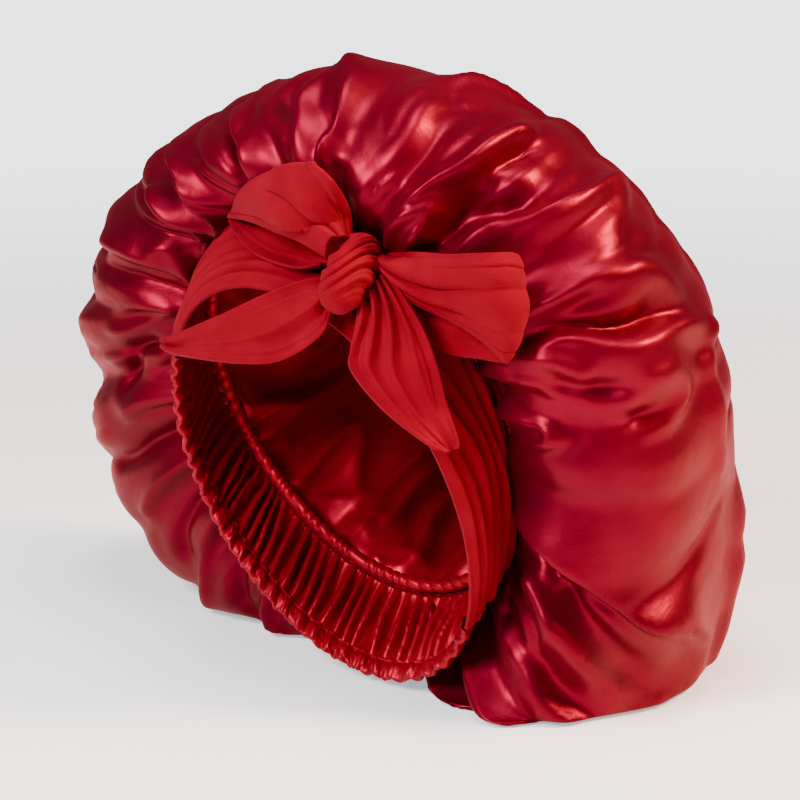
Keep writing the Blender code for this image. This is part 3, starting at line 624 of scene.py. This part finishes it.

# %% [markdown]
# The crown is closed at its back by drawing the last row together on one point, which makes it a bag that
# is open only at the seam.

# %% The crown
crown_points = np.concatenate([crown_grid, np.broadcast_to(crown_tip, (1, CROWN_ROUND, 3))])
crown = cloth_piece("crown_cloth", crown_points, crown_satin, ["crown"], wrap=True,
                    thickness=0.0009, offset=1.0)

# %% [markdown]
# The lining is the bag that the head goes into. We look into it, so its inner face matters. Its gathers
# start at the seam casing and its back hangs in a few soft folds. It could be a plain tapered bag with a
# bump, but a bump gives no outline and no shade. So three billows of different sizes lift its points:
# pleats by the casing, folds along its side and drapes at its back.

# %% The lining
LINING_DEPTH, LINING_ROUND, LINING_COUNT = 0.1080, 420, 90
PLEATS, LINING_FOLDS, DRAPES = 74, 30, 14
lining_angle = np.linspace(0.0, 2.0 * math.pi, LINING_ROUND, endpoint=False)
LINING_ROWS = [(1.0, 0.0), (0.99, 0.03), (0.97, 0.12), (0.955, 0.30), (0.93, 0.52), (0.87, 0.74),
               (0.71, 0.90), (0.42, 0.98), (0.03, 1.0)]
lining_rows = curve_through(LINING_ROWS, np.linspace(0.0, len(LINING_ROWS) - 1.0, LINING_COUNT))
reach = (seam_reach(lining_angle) - BAND_WALL)[None, :] * lining_rows[:, :1]
depth = 0.0018 + (LINING_DEPTH - 0.0015) * lining_rows[:, 1:]
lining_base = place(reach * np.cos(lining_angle), reach * np.sin(lining_angle), depth)
lining_away = np.linspace(0.0, 1.0, LINING_COUNT)[:, None]
round_share = (lining_angle / (2.0 * math.pi))[None, :]
pleat = billow(round_share * PLEATS + 0.3 * smooth_noise(round_share * 37, lining_away * 9, 3, 37),
               lining_away * 5.0, 51, PLEATS)
fold = billow(round_share * LINING_FOLDS + 1.1 * smooth_noise(round_share * 15, lining_away * 4, 4, 15),
              lining_away * 1.5, 61, LINING_FOLDS)
drape_bend = 2.6 * lining_away + 0.6 * smooth_noise(round_share * 7, lining_away * 3, 14, 7)
drape = smooth_noise(round_share * DRAPES + drape_bend, lining_away * 1.4, 67, DRAPES)
lining_height = (pleat * 0.0066 * np.exp(-lining_away / 0.30) + fold * 0.0070
                 * smooth_step(0.04, 0.3, lining_away) * (1.0 - 0.75 * smooth_step(0.8, 1.0, lining_away)))
lining_height = lining_height - (drape + 0.6) * 0.0095 * smooth_step(0.25, 0.6, lining_away) * (
    1.0 - 0.9 * smooth_step(0.88, 1.0, lining_away))
lining_height = lining_height * smooth_step(0.0, 0.05, lining_away)
lining_out = grid_normals(lining_base, True)
lining_out *= np.sign(np.sum(lining_out[40] * (lining_base[40] - SEAM_CENTRE), axis=-1).mean())
lining_grid = lining_base + lining_out * (blur(lining_height, 2, 1) - 0.0012)[..., None]
lining_grid[..., 2] = np.maximum(lining_grid[..., 2], 0.0022)
lining = cloth_piece("lining_cloth", lining_grid, lining_satin, ["lining"], wrap=True,
                     thickness=0.0008)

# %% [markdown]
# The nape band is satin on elastic. Relaxed, it draws into about forty gathers between its two casings. A
# gather is high in the middle of the band and dies at both casings. One gather could be modelled and
# repeated, but the eye finds a repeat at once. A wave whose phase wanders makes each gather a little
# different.

# %% The nape band
EDGE_CASING_WIDTH, EDGE_CASING_THICK, SEAM_CORD_RADIUS = 0.0110, 0.0040, 0.0031
NAPE_GATHERS = 40


def nape_angles(count):
    """Angles along the nape side, from one end of the headband round to the other."""
    return np.radians(np.linspace(HEADBAND_END + END_GAP, HEADBAND_START + 360.0 - END_GAP, count))


nape_start, nape_end, nape_out = band_frame(nape_angles(NAPE_GATHERS * 14 + 1))
nape_length = np.linalg.norm(nape_end - nape_start, axis=-1)
nape_last = 1.0 - (EDGE_CASING_WIDTH - 0.0015) / nape_length
nape_share = np.linspace(0.0, 1.0, 44)[:, None]
nape_round = np.linspace(0.0, NAPE_GATHERS, NAPE_GATHERS * 14 + 1)[None, :]
nape_phase = (nape_round + 0.30 * nape_share + 0.42 * smooth_noise(nape_round * 0.55, nape_share * 1.2, 7)
              + 0.15 * smooth_noise(nape_round * 1.3, nape_share * 2.0, 6))
nape_wave = np.abs(np.sin(math.pi * nape_phase)) ** 0.85
nape_split = np.abs(np.sin(2.0 * math.pi * nape_phase + 0.9)) ** 0.8
nape_size = 1.0 + 0.35 * smooth_noise(nape_round * 0.9, nape_share * 1.5, 9)
nape_belly = np.sin(math.pi * np.clip(nape_share, 0.0, 1.0)) ** 0.5
nape_by_casing = np.exp(-nape_share / 0.16) + np.exp(-(1.0 - nape_share) / 0.16)
nape_small = smooth_noise(nape_round * 2.2, nape_share * 2.5, 13) * 0.0004
nape_lift = ((nape_wave - 0.55) * nape_size * nape_belly * 0.0058
             + (nape_split - 0.5) * nape_by_casing * 0.0008 + nape_small * nape_belly - 0.0006)
nape_ends = np.minimum(smooth_step(0.0, 0.6, nape_round), smooth_step(0.0, 0.6, NAPE_GATHERS - nape_round))
nape_grid = (nape_start + (nape_end - nape_start) * (nape_last * nape_share)[..., None]
             + nape_out * (nape_lift * nape_ends)[..., None])
nape_band = cloth_piece("nape_band_cloth", nape_grid, nape_satin, ["nape_band"],
                        thickness=0.0009)

# %% [markdown]
# The casing at the free edge is a flat tunnel of the same satin with elastic inside. It ruffles all along
# its length, and a line of stitches closes it on the side of the band. A bevelled curve would give an
# even tube. A tube made point by point can swell, thin and wave, so its cross-section is a flat oval that
# changes along the way.

# %% The casing at the free edge
casing_count = NAPE_GATHERS * 20 + 1
casing_start, casing_end, casing_out = band_frame(nape_angles(casing_count))
casing_along = (casing_end - casing_start) / np.linalg.norm(casing_end - casing_start, axis=-1, keepdims=True)
casing_round = np.linspace(0.0, NAPE_GATHERS, casing_count)[None, :]
casing_turn = np.linspace(0.0, 2.0 * math.pi, 29)[:, None]
casing_across = np.cos(casing_turn)
ruffle_phase = (casing_round * 1.55 + 0.90 * smooth_noise(casing_round * 0.8, casing_across * 0.9 + 3.0, 17)
                + 0.10 * casing_across)
ruffle = np.sin(math.pi * ruffle_phase)
pucker = np.abs(ruffle) ** 0.6
fine_pucker = smooth_noise(casing_round * 5.2, casing_across * 1.6 + 9.0, 18)
stitch_groove = np.exp(-((casing_across - 0.62) / 0.13) ** 2)
ruffled = 0.66 + 0.44 * pucker + 0.20 * fine_pucker
half_thick = EDGE_CASING_THICK / 2.0 * ruffled * (1.0 - 0.6 * stitch_groove)
uneven_width = 0.07 * smooth_noise(casing_round * 1.9, 0.0, 19)
half_wide = EDGE_CASING_WIDTH / 2.0 * (0.86 + 0.14 * pucker + uneven_width)
wave_turn = 2.0 * math.pi * casing_round * 0.72 + 2.0 * smooth_noise(casing_round * 0.4, 0.0, 21)
wave_off = 0.0009 * np.sin(wave_turn)
middle = casing_end - casing_along * (EDGE_CASING_WIDTH / 2.0) - casing_out * (BAND_WALL / 2.0)
side = np.sign(np.sin(casing_turn)) * np.abs(np.sin(casing_turn)) ** 0.75
casing_grid = (middle - casing_along * (half_wide * casing_across)[..., None]
               + casing_out * (side * half_thick + wave_off)[..., None])
casing_grid[..., 2] = np.maximum(casing_grid[..., 2], 0.0004)
edge_casing = cloth_piece("edge_casing_cloth", casing_grid, nape_satin, ["nape_edge_casing"])

# %% [markdown]
# At the seam the gathers are caught in a second, narrow casing. Seen from inside it looks like a soft
# twisted cord, because the satin wraps round the elastic at a slant. Two twisted curves would look like
# rope. A tube whose radius swells and pinches along a slanting pattern looks like wrapped cloth.

# %% The casing at the seam
cord_count = NAPE_GATHERS * 16 + 1
cord_angle = nape_angles(cord_count)
cord_middle = seam_point(cord_angle, BAND_WALL + PIECE_GAP * 1.5 + SEAM_CORD_RADIUS, 0.00075)
cord_in = -place(np.cos(cord_angle), np.sin(cord_angle), 0.0) + SEAM_CENTRE
cord_turn = np.linspace(0.0, 2.0 * math.pi, 25)[:, None]
cord_round = np.linspace(0.0, NAPE_GATHERS, cord_count)[None, :]
cord_twist = np.sin(math.pi * (cord_round * 1.15 + 0.8 * smooth_noise(cord_round * 0.6, 0.0, 27))
                    + cord_turn * 0.5)
cord_fine = smooth_noise(cord_round * 2.6 + cord_turn * 0.4, cord_turn * 0.9, 28)
cord_fine = 0.05 * cord_fine * np.sin(cord_turn / 2.0) ** 2
cord_size = SEAM_CORD_RADIUS * (0.74 + 0.34 * np.abs(cord_twist) ** 0.6 + cord_fine)
cord_grid = (cord_middle + cord_in * (np.cos(cord_turn) * cord_size)[..., None]
             + REARWARD * (np.sin(cord_turn) * cord_size)[..., None])
seam_casing = cloth_piece("seam_casing_cloth", cord_grid, nape_satin, ["nape_seam_casing"])

# %% [markdown]
# The headband is a wide strip of jersey, scrunched lengthwise, so it shows five or six soft ribs that
# draw together under the knot. Ribs could come from a wave texture as displacement, but then they would
# all be alike. Here each rib wanders a little, and rib heights change along the band.

# %% The headband
RIB_HEIGHT = 0.0040
band_degrees = np.linspace(HEADBAND_START + END_GAP, HEADBAND_END - END_GAP, 300)
band_start, band_end, band_out = band_frame(np.radians(band_degrees))
band_share = np.linspace(0.0, 1.0, 110)[:, None]
near_knot = np.exp(-((band_degrees - KNOT_ANGLE) / 17.0) ** 2)[None, :]
from_knot = ((band_degrees - KNOT_ANGLE) / 30.0)[None, :]
rib_spot = band_share * 5.4 + 0.75 * smooth_noise(from_knot * 0.9, band_share * 1.8, 71)
rib_phase = np.mod(rib_spot, 1.0)
rib_wave = np.sin(math.pi * rib_phase ** 0.62) ** 0.85
rib_tall = 1.0 + 0.45 * smooth_noise(from_knot * 1.1, np.floor(rib_spot) * 1.7, 75)
rib_small = smooth_noise(from_knot * 1.6, band_share * 7.0, 73)
belly = 1.0 - np.abs(2.0 * band_share - 1.0) ** 5
rib_lift = blur((rib_wave * RIB_HEIGHT * rib_tall + rib_small * 0.0006) * belly, 1, 1)
pinch = band_share - 0.5
band_spot = 0.5 + pinch * (1.0 - 0.5 * near_knot * belly)
band_grid = (band_start + (band_end - band_start) * band_spot[..., None] + band_out * rib_lift[..., None])
headband = cloth_piece("headband_cloth", band_grid, band_jersey, ["headband"],
                       thickness=0.0018)

# %% [markdown]
# The knot is the headband's own ends, tied once. Its cloth wraps down over the loops in slanting turns.
# Tying it for real would take a long simulation for a piece two centimetres wide. A rounded form with
# deep slanting grooves shows the same turns.

# %% The knot
KNOT_SHARE, KNOT_LIFT = 0.58, 0.0145
KNOT_LONG, KNOT_WIDE, KNOT_THICK = 0.0165, 0.0103, 0.0112
KNOT_PLUMP, KNOT_STRETCH, KNOT_NARROW, KNOT_TILT = 1.12, 1.20, 0.95, math.radians(-4.0)
knot_start, knot_end, knot_normal = band_frame(np.array([math.radians(KNOT_ANGLE)]))
knot_middle = knot_start[0] + (knot_end[0] - knot_start[0]) * KNOT_SHARE + knot_normal[0] * KNOT_LIFT
knot_out = knot_normal[0]
knot_along = (knot_end[0] - knot_start[0]) - knot_out * np.dot(knot_end[0] - knot_start[0], knot_out)
knot_along /= np.linalg.norm(knot_along)
knot_side = np.cross(knot_out, knot_along)
knot_along = knot_along * math.cos(KNOT_TILT) + knot_side * math.sin(KNOT_TILT)
knot_across = np.cross(knot_out, knot_along)
knot_lean = np.linspace(0.003, math.pi - 0.003, 110)[:, None]
knot_turn = np.linspace(0.0, 2.0 * math.pi, 120, endpoint=False)[None, :]
knot_a = np.cos(knot_lean) + 0.0 * knot_turn
knot_c = np.sin(knot_lean) * np.cos(knot_turn)
knot_o = np.sin(knot_lean) * np.sin(knot_turn)
wrap_spot = (2.6 * (knot_a * math.cos(0.6) + knot_c * math.sin(0.6))
             + 0.9 * knot_o ** 2 * knot_c - 0.5 * knot_o)
wrap_wave = np.abs(np.sin(math.pi * wrap_spot * 0.95 + 0.4))
fine_wrap = np.abs(np.sin(math.pi * wrap_spot * 2.1 + 0.8))
full = np.sin(knot_lean) ** 0.70
away_from_poles = 1.0 - np.abs(knot_a) ** 10
swell = KNOT_PLUMP * (0.98 + (0.22 * (wrap_wave ** 0.7 - 0.75) + 0.08 * (fine_wrap - 0.6)) * away_from_poles)
knot_grid = (knot_middle + knot_along * (np.cos(knot_lean) * KNOT_LONG * KNOT_STRETCH)[..., None]
             + knot_across * (np.cos(knot_turn) * full * swell * KNOT_WIDE * KNOT_NARROW)[..., None]
             + knot_out * (np.sin(knot_turn) * full * swell * KNOT_THICK)[..., None])
knot = cloth_piece("knot_cloth", knot_grid, band_jersey, ["bow_knot"], wrap=True)

# %% [markdown]
# Each loop and tail of the bow is a strip of jersey. A strip could be a plane bent with a curve modifier,
# but it changes its width and twists as it goes. So it is given by straight lines across it, one edge and
# then the other, and a smooth curve runs through those lines. Folds run from the knot along the strip and
# open out, and a sewn hem stands a little proud along both edges.

# %% The strips of the bow
BOW_TAIL_LEFT = [
    (-0.73, -0.30, -0.18, -0.06, -0.73, -0.91), (-0.114, -0.023, 0.045, 0.041, -0.095, -0.145),
    (-0.268, -0.077, -0.027, -0.141, -0.123, -0.264), (-0.432, -0.095, -0.109, -0.332, -0.150, -0.300),
    (-0.641, -0.077, -0.200, -0.568, -0.141, -0.318), (-0.841, -0.041, -0.282, -0.777, -0.086, -0.336),
    (-0.895, -0.032, -0.309, -0.877, -0.050, -0.327),
]
BOW_TAIL_RIGHT = [
    (0.36, -0.12, -0.73, 0.79, 0.48, 0.12), (0.017, -0.133, -0.167, 0.161, 0.044, -0.022),
    (0.039, -0.200, -0.267, 0.294, 0.044, -0.178), (0.061, -0.222, -0.367, 0.383, 0.044, -0.356),
    (0.228, -0.178, -0.544, 0.450, 0.033, -0.533), (0.417, -0.078, -0.700, 0.517, 0.022, -0.667),
    (0.494, -0.033, -0.733, 0.528, 0.022, -0.722),
]
BOW_LOOP_RIGHT = [
    (0.36, 1.03, 0.42, 0.67, 0.73, -0.12), (0.221, -0.021, 0.107, 0.221, -0.036, -0.193),
    (0.593, -0.121, 0.164, 0.421, 0.107, -0.293), (0.879, -0.107, 0.207, 0.736, 0.021, -0.364),
    (0.979, -0.007, 0.207, 0.907, 0.007, -0.464), (0.979, 0.050, 0.164, 0.907, 0.036, -0.493),
    (0.836, -0.007, 0.121, 0.636, 0.150, -0.536), (0.550, -0.050, 0.050, 0.421, 0.064, -0.507),
    (0.179, 0.079, -0.036, 0.250, 0.007, -0.350), (-0.064, 0.093, -0.007, 0.036, 0.036, -0.179),
]
BOW_LOOP_LEFT = [
    (-0.67, -0.18, 0.36, -0.36, 0.48, 0.85), (-0.256, -0.056, 0.013, 0.006, 0.081, 0.188),
    (-0.531, -0.044, 0.062, 0.056, -0.069, 0.362), (-0.931, 0.156, 0.025, -0.019, -0.131, 0.462),
    (-1.019, 0.206, -0.013, -0.094, -0.094, 0.450), (-0.794, 0.044, -0.050, -0.119, -0.119, 0.388),
    (-0.556, -0.069, -0.100, -0.256, 0.056, 0.225), (-0.231, -0.106, -0.125, -0.169, 0.131, 0.087),
    (-0.094, -0.044, -0.100, -0.044, 0.094, 0.037),
]


def bow_strip(name, table, length, folds, fold_height, open_out, crown_up, seed):
    """One strip of the bow, with lengthwise folds that open out and die away from the knot."""
    rows = np.array(table)
    root = knot_middle + rows[0].reshape(2, 3) * KNOT_LONG
    ends = root.mean(axis=0) + rows[1:].reshape(-1, 2, 3) * length
    ends = curve_through(np.concatenate([root[None], ends]), np.linspace(0.0, len(rows) - 1.0, 90))
    share = np.linspace(0.0, 1.0, 81)
    grid = ends[:, :1] + (ends[:, 1:] - ends[:, :1]) * share[None, :, None]
    out = grid_normals(grid, False)
    run = np.linspace(0.0, 1.0, 90)[:, None]
    spot = share[None, :] * folds + 0.5 * smooth_noise(share[None, :] * 2.0, run * 1.8, seed)
    wave = np.abs(np.sin(math.pi * spot)) ** 0.8 - 0.5
    fade = 1.25 * np.exp(-(run / open_out) ** 1.6) + 0.05
    belly = np.sin(math.pi * share[None, :]) ** 0.6
    rise = crown_up * (1.0 - (2.0 * share[None, :] - 1.0) ** 2)
    width = np.linalg.norm(ends[:, 1] - ends[:, 0], axis=-1)
    from_edge = np.minimum(share, 1.0 - share)[None, :] * width[:, None]
    stitches = 0.8 * np.exp(-((from_edge - 0.0052) / 0.0006) ** 2)
    hem = 0.0006 * (smooth_step(0.0055, 0.0048, from_edge) - stitches)
    hem = hem * smooth_step(0.012, 0.02, from_edge.max(axis=1, keepdims=True))
    lift = (rise + wave * fade * fold_height * belly + hem
            + 0.0008 * smooth_noise(share[None, :] * 4, run * 5, seed + 1))
    strip_grid = grid + out * lift[..., None]
    strip = cloth_piece(name + "_cloth", strip_grid, band_jersey, ["bow_" + name],
                        thickness=0.0014, offset=0.0)


bow_strip("tail_left", BOW_TAIL_LEFT, 0.110, 2.3, 0.0040, 0.38, 0.0026, 91)
bow_strip("tail_right", BOW_TAIL_RIGHT, 0.090, 3.4, 0.0048, 0.48, 0.0022, 95)
bow_strip("loop_right", BOW_LOOP_RIGHT, 0.070, 2.6, 0.0040, 0.40, 0.0065, 97)
bow_strip("loop_left", BOW_LOOP_LEFT, 0.080, 2.4, 0.0034, 0.34, 0.0085, 99)

# %% [markdown]
# The bonnet stands on a plain pale floor that melts into an even pale world. A curved backdrop would do
# that from one side only. Here the floor turns into light of the world's own colour with distance, for
# the camera alone, so it has no visible edge from any side.

# %% Floor
WALL_COLOUR, WALL_STRENGTH = (0.90, 0.91, 0.92, 1.0), 3.3
FLOOR_RADIUS, FLOOR_CORNERS = 6.0, 64
floor_turns = np.linspace(0.0, 2.0 * math.pi, FLOOR_CORNERS, endpoint=False)
floor_points = [(FLOOR_RADIUS * math.cos(turn), FLOOR_RADIUS * math.sin(turn), 0.0) for turn in floor_turns]
floor_mesh = bpy.data.meshes.new("floor")
floor_mesh.from_pydata(floor_points, [], [tuple(range(FLOOR_CORNERS))])
floor = bpy.data.objects.new("floor", floor_mesh)
bpy.context.scene.collection.objects.link(floor)
floor_paint, nodes, links, shader = new_material("floor_paint")
set_inputs(shader, {"Base Color": (0.93, 0.93, 0.94, 1.0), "Roughness": 0.6})
coordinates = nodes.new("ShaderNodeTexCoord")
distance = nodes.new("ShaderNodeVectorMath")
distance.operation = "LENGTH"
links.new(coordinates.outputs["Object"], distance.inputs[0])
far_away = nodes.new("ShaderNodeMapRange")
far_away.interpolation_type = "SMOOTHSTEP"
set_inputs(far_away, {"From Min": 0.35, "From Max": 1.5, "To Min": 0.18})
links.new(distance.outputs["Value"], far_away.inputs["Value"])
seen = nodes.new("ShaderNodeLightPath")
both = nodes.new("ShaderNodeMath")
both.operation = "MULTIPLY"
links.new(far_away.outputs["Result"], both.inputs[0])
links.new(seen.outputs["Is Camera Ray"], both.inputs[1])
glow = nodes.new("ShaderNodeEmission")
set_inputs(glow, {"Color": WALL_COLOUR, "Strength": WALL_STRENGTH})
fade_out = nodes.new("ShaderNodeMixShader")
links.new(both.outputs["Value"], fade_out.inputs["Fac"])
links.new(shader.outputs["BSDF"], fade_out.inputs[1])
links.new(glow.outputs["Emission"], fade_out.inputs[2])
links.new(fade_out.outputs["Shader"], nodes["Material Output"].inputs["Surface"])
floor_mesh.materials.append(floor_paint)
print("floor", FLOOR_RADIUS, "m in radius")

# %% [markdown]
# Satin shows its folds only by what it reflects, so it needs something bright to reflect and something
# dark beside it. The world is bright to the camera and dim to everything else. A large soft light stands
# at the left, a smaller warm one at the right, and a third above.

# %% World and lights
def area_light(name, size, power, turn, rise, distance, colour):
    """A square soft light aimed at the bonnet from a turn round it and a rise above it, in degrees."""
    turn, rise = math.radians(turn), math.radians(rise)
    away = Vector((math.sin(turn) * math.cos(rise), -math.cos(turn) * math.cos(rise), math.sin(rise)))
    light = bpy.data.objects.new(name, bpy.data.lights.new(name, "AREA"))
    light.data.size = size
    light.data.energy = power
    light.data.color = colour
    light.location = VIEW_TARGET + away * distance
    light.rotation_euler = (-away).to_track_quat("-Z", "Y").to_euler()
    bpy.context.scene.collection.objects.link(light)
    return light


world = bpy.data.worlds.new("pale_world")
world.use_nodes = True
links = world.node_tree.links
wall = world.node_tree.nodes["Background"]
set_inputs(wall, {"Color": WALL_COLOUR, "Strength": WALL_STRENGTH})
ambient = world.node_tree.nodes.new("ShaderNodeBackground")
set_inputs(ambient, {"Color": (0.92, 0.94, 0.96, 1.0), "Strength": 0.22})
path = world.node_tree.nodes.new("ShaderNodeLightPath")
choice = world.node_tree.nodes.new("ShaderNodeMixShader")
links.new(path.outputs["Is Camera Ray"], choice.inputs["Fac"])
links.new(ambient.outputs["Background"], choice.inputs[1])
links.new(wall.outputs["Background"], choice.inputs[2])
links.new(choice.outputs["Shader"], world.node_tree.nodes["World Output"].inputs["Surface"])
bpy.context.scene.world = world
area_light("soft_left", 0.55, 50.0, -8.0, 34.0, 1.5, (1.0, 0.98, 0.96))
area_light("warm_right", 0.30, 50.0, 114.0, 40.0, 1.3, (1.0, 0.52, 0.42))
area_light("soft_top", 0.6, 28.0, 50.0, 78.0, 1.4, (1.0, 0.99, 0.97))
print("world and three lights")
